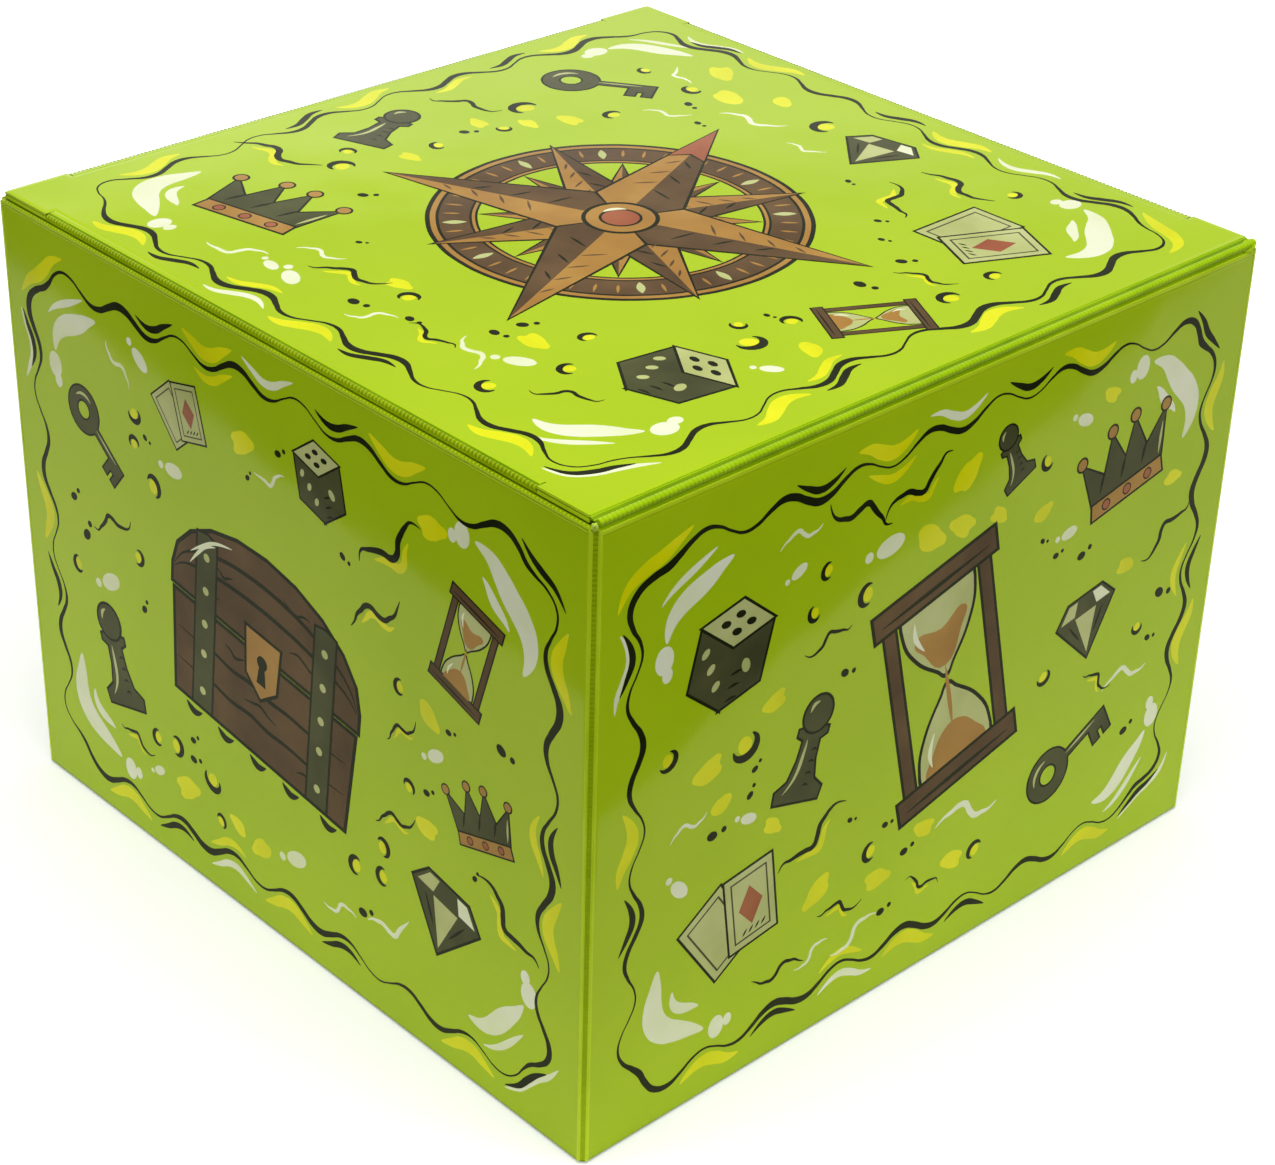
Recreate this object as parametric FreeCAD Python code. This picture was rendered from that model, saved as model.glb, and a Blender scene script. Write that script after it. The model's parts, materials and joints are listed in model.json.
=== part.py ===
import FreeCAD, Part
import math
import os

os.makedirs("parts", exist_ok=True)

V = FreeCAD.Vector
UP = V(0, 0, 1)

# Overall size with the lid shut, in millimetres
box_w = 260.0  # X, from the tuck edge to the hinge edge
box_d = 260.0  # Y, from front to back
box_h = 200.0  # Z, from the table to the top of the lid

# Sheet stock of the panels
film_t = 0.3  # vinyl film, inside and outside
board_t = 1.8  # board of the lid, the walls and the base
flap_board_t = 1.2  # lighter board of the three lid flaps
seal = 3.0  # margin of film welded past the edge of each board
liner_run = 0.8  # sideways run of the liner for each unit that it falls beside a board

# Welded edges
corner_leg = 1.6  # flat pressed on each side of an upright corner
base_leg = 1.0  # flat pressed on each side of a bottom edge
bead_r = 1.0  # ridge of the lid hinge, on which the lid turns
groove_w = 2.0  # pressed line on each side of that ridge
groove_press = 0.25  # depth of the pressed lines

# Lid and its three flaps
lid_inset = 1.7  # lid edge inside the outer faces of the walls
lid_corner_r = 1.5  # rounding of the lid's free corners
flap_set = 23.0  # start of each flap, from the corner of the box
flap_depth = 38.0  # reach of each flap below its crease
flap_taper = 20.0  # each end of a flap draws in by this much towards its free edge
flap_corner_r = 8.0  # rounding of the flap's free corners
flap_lean = 5.0  # degrees that each flap leans in from its wall
shoulder_r = 1.8  # rounding of the ribbed strip above each flap
crease_r = 0.45  # welded bead on which each flap folds

# Clearances
lid_gap = 0.3  # lid above the rims of the walls
wall_gap = 0.5  # flap strips inside the walls
fold_gap = 0.4  # folded flap below the lid
play = 0.3  # ends of the strips, and flap film below its bead

# Sizes that follow
panel_t = board_t + 2 * film_t
flap_t = flap_board_t + 2 * film_t
weld_t = 2 * film_t
half_w = box_w / 2
half_d = box_d / 2
wall_top = box_h - panel_t - lid_gap
hinge_x = half_w - bead_r
hinge_z = box_h - bead_r
hinge_reach = bead_r + groove_w
strip_back = panel_t + wall_gap  # outer face of the flap strips, from the outer face of the wall
crease_z = box_h - panel_t - fold_gap - (flap_t - film_t)
outline_w = half_w - lid_inset
outline_d = half_d - lid_inset


def inset(points, distance):
    """Outline drawn in by a distance; the points run anticlockwise."""
    lines = []
    count = len(points)
    for i in range(count):
        ax, ay = points[i]
        bx, by = points[(i + 1) % count]
        length = math.hypot(bx - ax, by - ay)
        nx = -(by - ay) / length
        ny = (bx - ax) / length
        lines.append((nx, ny, nx * ax + ny * ay + distance))
    moved = []
    for i in range(count):
        a1, b1, c1 = lines[i - 1]
        a2, b2, c2 = lines[i]
        det = a1 * b2 - a2 * b1
        moved.append(((c1 * b2 - c2 * b1) / det, (a1 * c2 - a2 * c1) / det))
    return moved


def ring(points, rounds, z):
    """Closed wire through the points at height z, with each corner rounded by its radius."""
    count = len(points)
    arcs = []
    for i in range(count):
        corner = V(points[i][0], points[i][1], z)
        before = V(points[i - 1][0], points[i - 1][1], z) - corner
        after_x, after_y = points[(i + 1) % count]
        after = V(after_x, after_y, z) - corner
        if rounds[i] <= 0:
            arcs.append((corner, None, corner))
            continue
        half = before.getAngle(after) / 2
        before.normalize()
        after.normalize()
        middle = before + after
        middle.normalize()
        cut = rounds[i] / math.tan(half)
        deep = rounds[i] / math.sin(half) - rounds[i]
        arcs.append((corner + before * cut, corner + middle * deep, corner + after * cut))
    edges = []
    for i in range(count):
        start, mid, end = arcs[i]
        if mid is not None:
            edges.append(Part.Arc(start, mid, end).toShape())
        edges.append(Part.makeLine(end, arcs[(i + 1) % count][0]))
    return Part.Wire(edges)


def sheet(points, rounds, bottom, thick):
    """Flat sheet of an outline, from its bottom height upwards."""
    return Part.Face(ring(points, rounds, bottom)).extrude(V(0, 0, thick))


def frustum(points, rounds, low, low_inset, high, high_inset):
    """Solid between two heights whose outline is drawn in by its own distance at each."""
    wires = []
    for z, distance in ((low, low_inset), (high, high_inset)):
        kept = [r - distance if r > seal + film_t else 0 for r in rounds]
        wires.append(ring(inset(points, distance), kept[: len(points)], z))
    return Part.makeLoft(wires, True, True)


def frame(origin, along, upward):
    """Placement of a panel: along and upward lie in its outer face, and their cross product points out."""
    out = along.cross(upward)
    rows = []
    for axis in ("x", "y", "z"):
        rows += [getattr(v, axis) for v in (along, upward, out, origin)]
    return FreeCAD.Placement(FreeCAD.Matrix(*rows, 0, 0, 0, 1))


def write(name, shape, place=None):
    """Writes one piece as its own node."""
    piece = shape.removeSplitter()
    if place is not None:
        piece.Placement = place
    piece.exportStep("parts/" + name + ".step")


def write_panel(name, points, rounds, thick, place, core=None):
    """Writes the film, the board and the liner of one panel, whose outer face is at height 0.

    The board and the liner's pocket follow the outline too, or the core where one is given.
    """
    if core is None:
        core = points
    deep = -film_t - thick
    drop = liner_run * thick
    side = film_t * math.hypot(1, liner_run)
    write(name + "_film", sheet(points, rounds, -film_t, film_t), place)
    write(name + "_board", frustum(core, rounds, deep, seal, -film_t, seal), place)
    flange = sheet(points, rounds, -weld_t, film_t)
    pocket = frustum(core, rounds, deep - film_t, seal - side + liner_run * film_t, -film_t, seal - side - drop)
    hollow = frustum(core, rounds, deep, seal, -film_t, seal - drop)
    write(name + "_liner", flange.fuse(pocket).cut(hollow), place)


def bar(along, low, high, inner, outer):
    """Straight bar: half its length along X, between two heights in Y and two distances out in Z."""
    return Part.makeBox(2 * along, high - low, outer - inner, V(-along, low, inner))


def rod(radius, along, y, z):
    """Round rod along X, centred on the origin."""
    return Part.makeCylinder(radius, 2 * along, V(-along, y, z), V(1, 0, 0))


# The four sides: direction along the wall, half its length, and its outer face from the middle of the box
sides = {
    "front": (V(1, 0, 0), half_w, half_d),
    "right": (V(0, 1, 0), half_d, half_w),
    "back": (V(-1, 0, 0), half_w, half_d),
    "left": (V(0, -1, 0), half_d, half_w),
}

# Walls: the right one ends lower, where the hinge strip begins
for name, (along, half, reach) in sides.items():
    top = hinge_z - hinge_reach if name == "right" else wall_top
    span = half - corner_leg
    outline = [(-span, base_leg), (span, base_leg), (span, top), (-span, top)]
    write_panel(name + "_wall", outline, [0] * 4, board_t, frame(along.cross(UP) * reach, along, UP))

# Base, with its corners cut to the pressed upright corners
cx = half_w - corner_leg
cy = half_d - corner_leg
plan = [
    (-cx, -half_d), (cx, -half_d), (half_w, -cy), (half_w, cy),
    (cx, half_d), (-cx, half_d), (-half_w, cy), (-half_w, -cy),
]
floor_plan = inset(plan, base_leg)
floor_x = half_w - base_leg
floor_y = half_d - base_leg
floor_core = [(-floor_x, -floor_y), (floor_x, -floor_y), (floor_x, floor_y), (-floor_x, floor_y)]
write_panel("base", floor_plan, [0] * 8, board_t, frame(V(0, 0, 0), V(1, 0, 0), V(0, -1, 0)), floor_core)

# Welded rim round the bottom edges
rim = frustum(plan, [0] * 8, 0, base_leg, base_leg, 0)
rim = rim.cut(sheet(floor_plan, [0] * 8, 0, base_leg))
rim = rim.cut(frustum(plan, [0] * 8, weld_t, base_leg, base_leg, weld_t))
write("base_weld_rim", rim)

# Welded upright corners
for name, sx, sy in (("front_left", -1, -1), ("front_right", 1, -1), ("back_left", -1, 1), ("back_right", 1, 1)):
    band = [(cx, half_d), (half_w, cy), (half_w - weld_t, cy), (cx, half_d - weld_t)]
    band = [V(sx * x, sy * y, base_leg) for x, y in band]
    upright = Part.Face(Part.makePolygon(band + band[:1])).extrude(V(0, 0, wall_top - base_leg))
    write("corner_weld_" + name, upright)

# Lid: its free edges step in where the flaps hang
lid_right = hinge_x - hinge_reach
step_x = half_w - strip_back - shoulder_r
step_y = half_d - strip_back - shoulder_r
end_x = half_w - flap_set
end_y = half_d - flap_set
lid_outline = [
    (lid_right, -outline_d), (lid_right, outline_d),
    (end_x, outline_d), (end_x, step_y), (-end_x, step_y), (-end_x, outline_d),
    (-outline_w, outline_d), (-outline_w, end_y),
    (-step_x, end_y), (-step_x, -end_y), (-outline_w, -end_y),
    (-outline_w, -outline_d), (-end_x, -outline_d),
    (-end_x, -step_y), (end_x, -step_y), (end_x, -outline_d),
]
lid_rounds = [0] * len(lid_outline)
for corner in ((-outline_w, outline_d), (-outline_w, -outline_d)):
    lid_rounds[lid_outline.index(corner)] = lid_corner_r
write_panel("lid", lid_outline, lid_rounds, board_t, frame(V(0, 0, box_h), V(1, 0, 0), V(0, 1, 0)))

# Lid hinge: a ridge on the turning line between two pressed lines
pressed = groove_press + weld_t
hinge = rod(bead_r, outline_d, hinge_z, hinge_x)
hinge = hinge.fuse(bar(outline_d, box_h - pressed, box_h - groove_press, lid_right, hinge_x))
hinge = hinge.fuse(bar(outline_d, hinge_z - hinge_reach, hinge_z, half_w - pressed, half_w - groove_press))
write("lid_hinge_strip", hinge, frame(V(0, 0, 0), sides["right"][0], UP))

# Flaps: each hangs from a rounded strip of the lid and folds on the bead at its lower edge
lean = math.radians(flap_lean)
for name, side in (("tuck_flap", "left"), ("front_ear", "front"), ("back_ear", "back")):
    along, half, reach = sides[side]
    out = along.cross(UP)
    length = half - flap_set - play
    face = reach - strip_back
    centre_z = box_h - shoulder_r
    axle = face - film_t
    shoulder = rod(shoulder_r, length, centre_z, face - shoulder_r)
    shoulder = shoulder.cut(rod(shoulder_r - weld_t, length, centre_z, face - shoulder_r))
    shoulder = shoulder.common(bar(length, centre_z, box_h, face - shoulder_r, face))
    strip = shoulder.fuse(bar(length, crease_z, centre_z, face - weld_t, face))
    strip = strip.fuse(rod(crease_r, length, crease_z, axle))
    write(name + "_strip", strip, frame(V(0, 0, 0), along, UP))
    tilted = out * math.sin(lean) + UP * math.cos(lean)
    origin = out * axle + UP * crease_z + along.cross(tilted) * film_t
    low = length - flap_taper
    flap = [(-low, -flap_depth), (low, -flap_depth), (length, -crease_r - play), (-length, -crease_r - play)]
    rounds = [flap_corner_r, flap_corner_r, 0, 0]
    write_panel(name, flap, rounds, flap_board_t, frame(origin, along, tilted))
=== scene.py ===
# %% [markdown]
# # A board game box of welded, printed film
# The real box is six stiff panels. Each panel is a sheet of grey board shut between a printed film
# outside and a plain film inside, and the films are welded together along every edge. This lesson
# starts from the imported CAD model, keeps its places and sizes, and adds the pressed welds, the
# print and the gloss that the solids leave out.

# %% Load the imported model
import json
import random
from math import cos, hypot, pi, radians, sin, sqrt

import bmesh
import bpy
from mathutils import Matrix, Vector


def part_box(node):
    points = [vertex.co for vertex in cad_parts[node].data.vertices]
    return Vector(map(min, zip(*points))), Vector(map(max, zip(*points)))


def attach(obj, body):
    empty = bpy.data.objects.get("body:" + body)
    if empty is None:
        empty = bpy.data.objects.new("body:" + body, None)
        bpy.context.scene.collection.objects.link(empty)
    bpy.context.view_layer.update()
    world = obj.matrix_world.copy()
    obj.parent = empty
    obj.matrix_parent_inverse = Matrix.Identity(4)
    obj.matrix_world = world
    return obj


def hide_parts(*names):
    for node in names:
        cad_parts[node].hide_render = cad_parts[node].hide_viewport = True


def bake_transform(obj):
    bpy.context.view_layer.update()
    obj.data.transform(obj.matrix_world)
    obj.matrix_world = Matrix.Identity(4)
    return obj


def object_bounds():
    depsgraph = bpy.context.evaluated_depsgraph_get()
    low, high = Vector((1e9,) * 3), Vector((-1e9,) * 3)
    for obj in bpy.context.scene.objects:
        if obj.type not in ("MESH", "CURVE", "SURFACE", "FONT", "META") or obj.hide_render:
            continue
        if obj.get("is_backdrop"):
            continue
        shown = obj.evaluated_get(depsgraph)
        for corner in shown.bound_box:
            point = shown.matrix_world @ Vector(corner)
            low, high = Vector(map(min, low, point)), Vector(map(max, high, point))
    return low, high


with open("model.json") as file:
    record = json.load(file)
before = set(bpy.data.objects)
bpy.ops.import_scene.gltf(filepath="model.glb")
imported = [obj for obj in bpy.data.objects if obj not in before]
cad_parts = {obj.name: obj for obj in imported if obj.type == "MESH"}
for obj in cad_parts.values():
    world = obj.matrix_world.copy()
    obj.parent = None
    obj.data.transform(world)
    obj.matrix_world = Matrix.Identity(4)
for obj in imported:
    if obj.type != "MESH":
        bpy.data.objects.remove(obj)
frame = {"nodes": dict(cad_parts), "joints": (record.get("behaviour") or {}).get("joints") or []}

cad_low, cad_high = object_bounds()
mm = 0.001
print("CAD box in mm:", [round((b - a) / mm, 2) for a, b in zip(cad_low, cad_high)])

# %% [markdown]
# ## Sizes that the pieces share
# The pieces below are placed from the CAD nodes and the joints. Only the sections of the flap
# strips, lid edges and rims are drawn at fixed places. The hinge line runs through the middle of
# the bead between the lid and the right wall, and each flap folds about a line just under the lid's
# edge.

# %% Read places from the frame
hinge = {joint["name"]: Vector(joint["pos_m"]) for joint in frame["joints"]}
lid_line = hinge["lid_hinge"]


def middle(node):
    low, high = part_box(node)
    return (low + high) / 2


lid_low, lid_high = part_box("lid_film")
bead_r = cad_high.z - lid_line.z
print("hinge line in mm:", [round(v / mm, 2) for v in lid_line])
print("bead radius in mm:", round(bead_r / mm, 2))

# %% [markdown]
# ## Working as by hand
# Blender's operators act on whatever is selected, and loading the model leaves all of it selected.
# These helpers select one piece, open its mesh, pick faces by a test and close it again, as a
# person does with the mouse. The last two give a piece its finish, and the last one its body too.

# %% Helpers for selecting and editing


def pick(*pieces):
    bpy.ops.object.select_all(action="DESELECT")
    for piece in pieces:
        piece.select_set(True)
    bpy.context.view_layer.objects.active = pieces[0]


def open_mesh(piece):
    pick(piece)
    bpy.ops.object.mode_set(mode="EDIT")
    bpy.ops.mesh.select_all(action="SELECT")


def close_mesh():
    bpy.ops.object.mode_set(mode="OBJECT")


def pick_faces(piece, wanted):
    bpy.ops.mesh.select_mode(type="FACE")
    edit = bmesh.from_edit_mesh(piece.data)
    for face in edit.faces:
        face.select_set(wanted(face))
    bmesh.update_edit_mesh(piece.data)


def paint(piece, *materials, choose=None):
    piece.data.materials.clear()
    for material in materials:
        piece.data.materials.append(material)
    if choose:
        for face in piece.data.polygons:
            face.material_index = choose(face)


def finish_piece(piece, body, slot, *materials, choose=None):
    paint(piece, *materials, choose=choose)
    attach(piece, body)
    return piece


# %% [markdown]
# ## The glossy print
# All the colour on the box is ink behind clear film, so every colour has the same skin: a slightly
# uneven gloss, because soft film over board is never quite flat. One function mixes three close
# tones of a colour with slow noise, then adds two sizes of waves as bump. The noise reads Object
# coordinates, so the waves run on from the film into the ink.

# %% Material for film and ink
film_ior = 1.43
warm_gloss = (1.0, 1.0, 0.15, 1)
tone_start, tone_span = 0.32, 0.36


def wires(owner, *links):
    for first, out, second, into in links:
        owner.node_tree.links.new(first.outputs[out], second.inputs[into])


def set_values(node, values):
    for key, value in values.items():
        if key in node.inputs:
            node.inputs[key].default_value = value
        else:
            setattr(node, key, value)
    return node


def add_node(owner, kind, **values):
    return set_values(owner.node_tree.nodes.new("ShaderNode" + kind), values)


def new_material(name, **values):
    owner = bpy.data.materials.new(name)
    owner.use_nodes = True
    return owner, set_values(owner.node_tree.nodes["Principled BSDF"], values)


def map_range(owner, from_low, from_high, to_low, to_high, **values):
    ends = {"From Min": from_low, "From Max": from_high, "To Min": to_low, "To Max": to_high}
    return add_node(owner, "MapRange", **ends, **values)


def noise(owner, place, scale, detail, **values):
    node = add_node(owner, "TexNoise", Scale=scale, Detail=detail, **values)
    wires(owner, (place, "Object", node, "Vector"))
    return node


def tones(owner, source, colours):
    ramp = add_node(owner, "ValToRGB")
    stops = ramp.color_ramp.elements
    stops.new(0.5)
    for i, colour in enumerate(colours):
        stops[i].position = tone_start + tone_span * i / 2
        stops[i].color = (*colour, 1)
    wires(owner, (source, 0, ramp, "Fac"))
    return ramp


def glossy_film(name, colours, gloss=0.07, patch=14, wave=1.0, shine=0.5):
    looks = {"IOR": film_ior, "Specular IOR Level": shine, "Specular Tint": warm_gloss}
    owner, shader = new_material(name, **looks)
    place = add_node(owner, "TexCoord")
    colour = tones(owner, noise(owner, place, patch, 3), colours)
    rough = map_range(owner, 0, 1, gloss * 0.7, gloss * 1.4)
    sag = add_node(owner, "Bump", Strength=0.16 * wave, Distance=1.2 * mm)
    peel = add_node(owner, "Bump", Strength=0.10, Distance=0.05 * mm)
    wires(
        owner, (colour, "Color", shader, "Base Color"),
        (noise(owner, place, 45, 4), 0, rough, "Value"), (rough, 0, shader, "Roughness"),
        (noise(owner, place, 26, 1), 0, sag, "Height"), (sag, "Normal", peel, "Normal"),
        (noise(owner, place, 420, 2), 0, peel, "Height"), (peel, "Normal", shader, "Normal"))
    return owner


lime = glossy_film("lime_film", [(0.41, 0.60, 0.002), (0.43, 0.62, 0.003), (0.45, 0.64, 0.006)])
print("made", lime.name)

# %% [markdown]
# ## Printed sheets
# Each outer film is welded at its margin, which lies lower than the middle, where the board lifts
# it. The outline is already right in the CAD node, so a copy is merged and cleaned to one outer
# face. That face is pressed down, inset by the weld's margin, and inset again while it comes back
# up.

# %% Press the margins of the outer films
margin, slope, flat_run, press = 0.5 * mm, 0.5 * mm, 0.3 * mm, 0.14 * mm
same_point, same_plane, same_way = 0.002 * mm, radians(1), 0.98
film_crease = radians(40)


def printed_sheet(panel, body):
    node = frame["nodes"][panel + "_film"]
    sheet = bpy.data.objects.new(panel + "_sheet", node.data.copy())
    bpy.context.collection.objects.link(sheet)
    outward = (middle(panel + "_film") - middle(panel + "_board")).normalized()
    open_mesh(sheet)
    bpy.ops.mesh.customdata_custom_splitnormals_clear()
    bpy.ops.mesh.remove_doubles(threshold=same_point)
    bpy.ops.mesh.dissolve_limited(angle_limit=same_plane)
    pick_faces(sheet, lambda face: face.normal.dot(outward) > same_way)
    bpy.ops.transform.translate(value=-outward * press)
    bpy.ops.mesh.inset(thickness=margin)
    bpy.ops.mesh.inset(thickness=slope, depth=press)
    bpy.ops.mesh.inset(thickness=flat_run)
    close_mesh()
    bpy.ops.object.shade_smooth_by_angle(angle=film_crease)
    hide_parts(panel + "_film")
    return finish_piece(sheet, body, "printed_film", lime)


bodies = {panel: "box" for panel in ("base", "front_wall", "right_wall", "back_wall", "left_wall")}
bodies.update({panel: panel for panel in ("lid", "tuck_flap", "front_ear", "back_ear")})
for panel, body in bodies.items():
    sheet = printed_sheet(panel, body)
    print(sheet.name, "faces:", len(sheet.data.polygons))

# %% [markdown]
# ## Ribbed welds
# Where two panels meet, a heated bar with fine teeth has fused their films into one strip, so each
# weld carries small ribs. Four outlines of the strip's section are laid along one rib, two low and
# two high, and bridged. The Array modifier repeats that rib along the edge, and the open ends are
# filled. Six close greens are given: the weld's own darker green, which also stands as painted
# shade in the middle of the lid's groove, the ribs' green, the seams' green, a half shade and a
# deeper shade painted into grooves, rib gaps and rim tops, and a pale green painted on lips as
# highlights.

# %% Greens of the welds
# Of these, the gap and rim greens are painted shade in grooves, between ribs and on rim tops, and
# the lip green is a painted highlight on lips.
weld_looks = {
    "weld_green": ([(0.155, 0.275, 0.001), (0.18, 0.315, 0.002), (0.22, 0.37, 0.003)], 0.22, 0.14),
    "bead_green": ([(0.33, 0.54, 0.002), (0.37, 0.59, 0.003), (0.42, 0.63, 0.006)], 0.13, 0.25),
    "half_shade_green": ([(0.29, 0.49, 0.001), (0.32, 0.53, 0.002), (0.36, 0.57, 0.004)], 0.20, 0.20),
    "seam_green": ([(0.33, 0.48, 0.001), (0.36, 0.52, 0.002), (0.39, 0.56, 0.004)], 0.18, 0.40),
    "rim_green": ([(0.21, 0.31, 0.001), (0.24, 0.34, 0.002), (0.27, 0.38, 0.003)], 0.20, 0.35),
    "lip_highlight_green": ([(0.52, 0.72, 0.008), (0.56, 0.76, 0.014), (0.60, 0.80, 0.024)], 0.15, 0.50),
}
weld, bead_green, half_shade_green, seam_green, rim_green, lip_highlight_green = [
    glossy_film(name, colours, gloss=gloss, patch=60, shine=shine)
    for name, (colours, gloss, shine) in weld_looks.items()
]
print("greens:", len(weld_looks))

# %% A weld strip from two outlines of its section
X, Y, Z = Vector((1, 0, 0)), Vector((0, 1, 0)), Vector((0, 0, 1))
rib_pitch, rib_merge, weld_crease = 1.4 * mm, 0.01 * mm, radians(25)
rib_from, rib_to = 0.3, 0.7


def ribbed_strip(name, low_outline, high_outline, across, up, along, start, length):
    place = Matrix((across, up, along)).transposed().to_4x4()
    place.translation = Vector(start)
    count = max(1, round(length / rib_pitch))
    pitch = length / count
    rings = [(low_outline, 0), (high_outline, rib_from), (high_outline, rib_to), (low_outline, 1)]
    for i, (outline, share) in enumerate(rings):
        bpy.ops.mesh.primitive_circle_add(vertices=len(outline), radius=mm)
        if i == 0:
            strip = bpy.context.object
            strip.name = strip.data.name = name
            bpy.ops.object.mode_set(mode="EDIT")
        edit = bmesh.from_edit_mesh(strip.data)
        ring = [corner for corner in edit.verts if corner.select]
        for corner, (a, b) in zip(ring, outline):
            corner.co = place @ Vector((a * mm, b * mm, share * pitch))
        bmesh.update_edit_mesh(strip.data)
    bpy.ops.mesh.select_all(action="SELECT")
    bpy.ops.mesh.bridge_edge_loops()
    close_mesh()
    repeat = strip.modifiers.new("ribs", "ARRAY")
    repeat.count = count
    repeat.use_relative_offset = False
    repeat.use_constant_offset = True
    repeat.constant_offset_displace = Vector(along) * pitch
    repeat.use_merge_vertices = True
    repeat.merge_threshold = rib_merge
    bpy.ops.object.modifier_apply(modifier="ribs")
    open_mesh(strip)
    bpy.ops.mesh.fill_holes(sides=0)
    bpy.ops.mesh.normals_make_consistent()
    close_mesh()
    bpy.ops.object.shade_smooth_by_angle(angle=weld_crease)
    return strip


def rib_share(face, start, along, length):
    return (face.center - start).dot(along) * round(length / rib_pitch) / length % 1


def span_of(node, run):
    low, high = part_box(node)
    length = max(high.x - low.x, high.y - low.y)
    return -run * length / 2, length


print("rib pitch in mm:", rib_pitch / mm)

# %% [markdown]
# ## The lid's hinge
# The lid turns on a round bead of fused film along its right edge, with a pressed groove on the lid
# and another on the wall. Because the hinge line runs through the middle of the bead, the bead
# looks the same at every angle, and the strips stay rigid: the grooves run into the bead and turn
# about it. The lid's groove is painted with shade, darkest along its middle and a half shade on its
# flanks, and the gaps between the bead's ribs have the half shade painted in as well. A pale green
# along the top of the wall is a painted highlight on its lip.

# %% Bead and grooves


def arc_of(radius, angles):
    return [(radius * cos(t), radius * sin(t)) for t in angles]


def hinge_strip(name, low_outline, high_outline, start):
    return ribbed_strip(name, low_outline, high_outline, X, Z, Y, start, hinge_run)


hinge_start = Vector((lid_line.x, lid_low.y, lid_line.z))
hinge_run = lid_high.y - lid_low.y
rib_top = bead_r / mm * 1.14
turns = [2 * pi * i / 16 for i in range(16)]
bead_low, bead_high = arc_of(0.86 * rib_top, turns), arc_of(rib_top, turns)
bead = hinge_strip("hinge_bead", bead_low, bead_high, hinge_start)
reach = (lid_line.x - lid_high.x) / mm + 0.3
shade_from, shade_to = -2.5, -1.6
groove_low = [(-reach, -0.2), (-0.6, -0.2), (-0.6, 0.1)]
groove_low += [(shade_to, 0.15), (shade_from, 0.5), (-reach, 0.6)]
groove_high = [(-reach, -0.2), (-0.6, -0.2), (-0.6, 0.2)]
groove_high += [(shade_to, 0.25), (shade_from, 0.6), (-reach, 0.72)]
lid_groove = hinge_strip("hinge_groove_lid", groove_low, groove_high, hinge_start)
wall_low = [(b, a) for a, b in reversed(groove_low)]
wall_high = [(b, a) for a, b in reversed(groove_high)]
wall_groove = hinge_strip("hinge_groove_wall", wall_low, wall_high, hinge_start)


# The gaps between the bead's ribs get the half-shade green as painted shade; the rib tops keep the
# bead green.
def bead_gap_shade(face):
    return 0 if 0.25 < rib_share(face, hinge_start, Y, hinge_run) < 0.75 else 1


# Painted shade in the lid's groove: the darkest weld green along its middle band, the half-shade
# green on its flanks.
def groove_shade(face):
    return 0 if shade_from < (face.center.x - lid_line.x) / mm < shade_to else 1


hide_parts("lid_hinge_strip")
finish_piece(bead, "lid", "weld_strip", bead_green, half_shade_green, choose=bead_gap_shade)
finish_piece(lid_groove, "lid", "weld_strip", weld, half_shade_green, choose=groove_shade)
finish_piece(wall_groove, "box", "weld_strip", bead_green)
wall_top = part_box("right_wall_film")[1]
lip_low = [(-0.45, -0.2), (0.0, -0.2), (0.05, 0.6), (-0.02, 0.92), (-0.2, 1.05), (-0.45, 0.85)]
lip_high = [(a, b + (0.05 if b > 0.7 else 0)) for a, b in lip_low]
wall_lip = hinge_strip("hinge_lip_wall", lip_low, lip_high, (wall_top.x, lid_low.y, wall_top.z))
# The lip is painted a pale green as a highlight along the top of the wall.
finish_piece(wall_lip, "box", "weld_strip", lip_highlight_green)
print("hinge ribs:", round(hinge_run / rib_pitch), "faces in the bead:", len(bead.data.polygons))

# %% [markdown]
# ## Upright corners
# Each upright corner is a narrow slanted weld. The bar presses a flat band between two thin lips,
# and the lips are painted a paler green as highlights, two fine light lines. The section is drawn
# once and set at the four corners, turned a quarter each time.

# %% Four corner bands
corner_low, corner_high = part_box("corner_weld_front_right")
half = (corner_high.x - corner_low.x) / mm / sqrt(2)
lip_width = 0.5


def band_outline(dip):
    side = [(half + 0.1, -0.9), (half + 0.55, -0.52), (half + 0.5, -0.34), (half + 0.22, -0.06)]
    side += [(half - 0.05, 0.14), (half - 0.3, 0.16), (half - 0.48, 0.02), (half - 0.52, dip)]
    return side + [(-a, b) for a, b in reversed(side)]


for x_side, y_side in ((1, -1), (1, 1), (-1, 1), (-1, -1)):
    y_name, x_name = "back" if y_side > 0 else "front", "right" if x_side > 0 else "left"
    name = f"corner_weld_{y_name}_{x_name}"
    low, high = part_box(name)
    outward = Vector((x_side, y_side, 0)).normalized()
    across = outward.cross(Z)
    foot = Vector(((low.x + high.x) / 2, (low.y + high.y) / 2, low.z))
    sections = band_outline(-0.2), band_outline(-0.1)
    band = ribbed_strip(name + "_band", *sections, across, outward, Z, foot, high.z - low.z)

    # The lips get the pale green as a painted highlight; the band between keeps the seam green.
    def on_lip_highlight(face):
        return int(abs((face.center - foot).dot(across)) > (half - lip_width) * mm)

    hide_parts(name)
    finish_piece(band, "box", "weld_strip", seam_green, lip_highlight_green, choose=on_lip_highlight)
    print(band.name, "faces:", len(band.data.polygons))

# %% [markdown]
# ## Fold strips of the flaps
# The tuck flap and the two ears hang from the lid on strips that roll over its edge. A strip
# carries on level from the printed film, then has a pressed groove, a row of ribs on its shoulder,
# and a thin tail that reaches on to the flap. Each strip is one piece, reaching from the lid's edge
# past the fold line. Its section is in millimetres, out from the box's middle and up from the
# table.

# %% Three fold strips
flaps = {"tuck_flap": -X, "front_ear": -Y, "back_ear": Y}
crest_end, crest_foot = 127.0, 199.7
shoulder_start, rib_foot, shoulder_foot = 127.5, 198.4, 197.5


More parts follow.
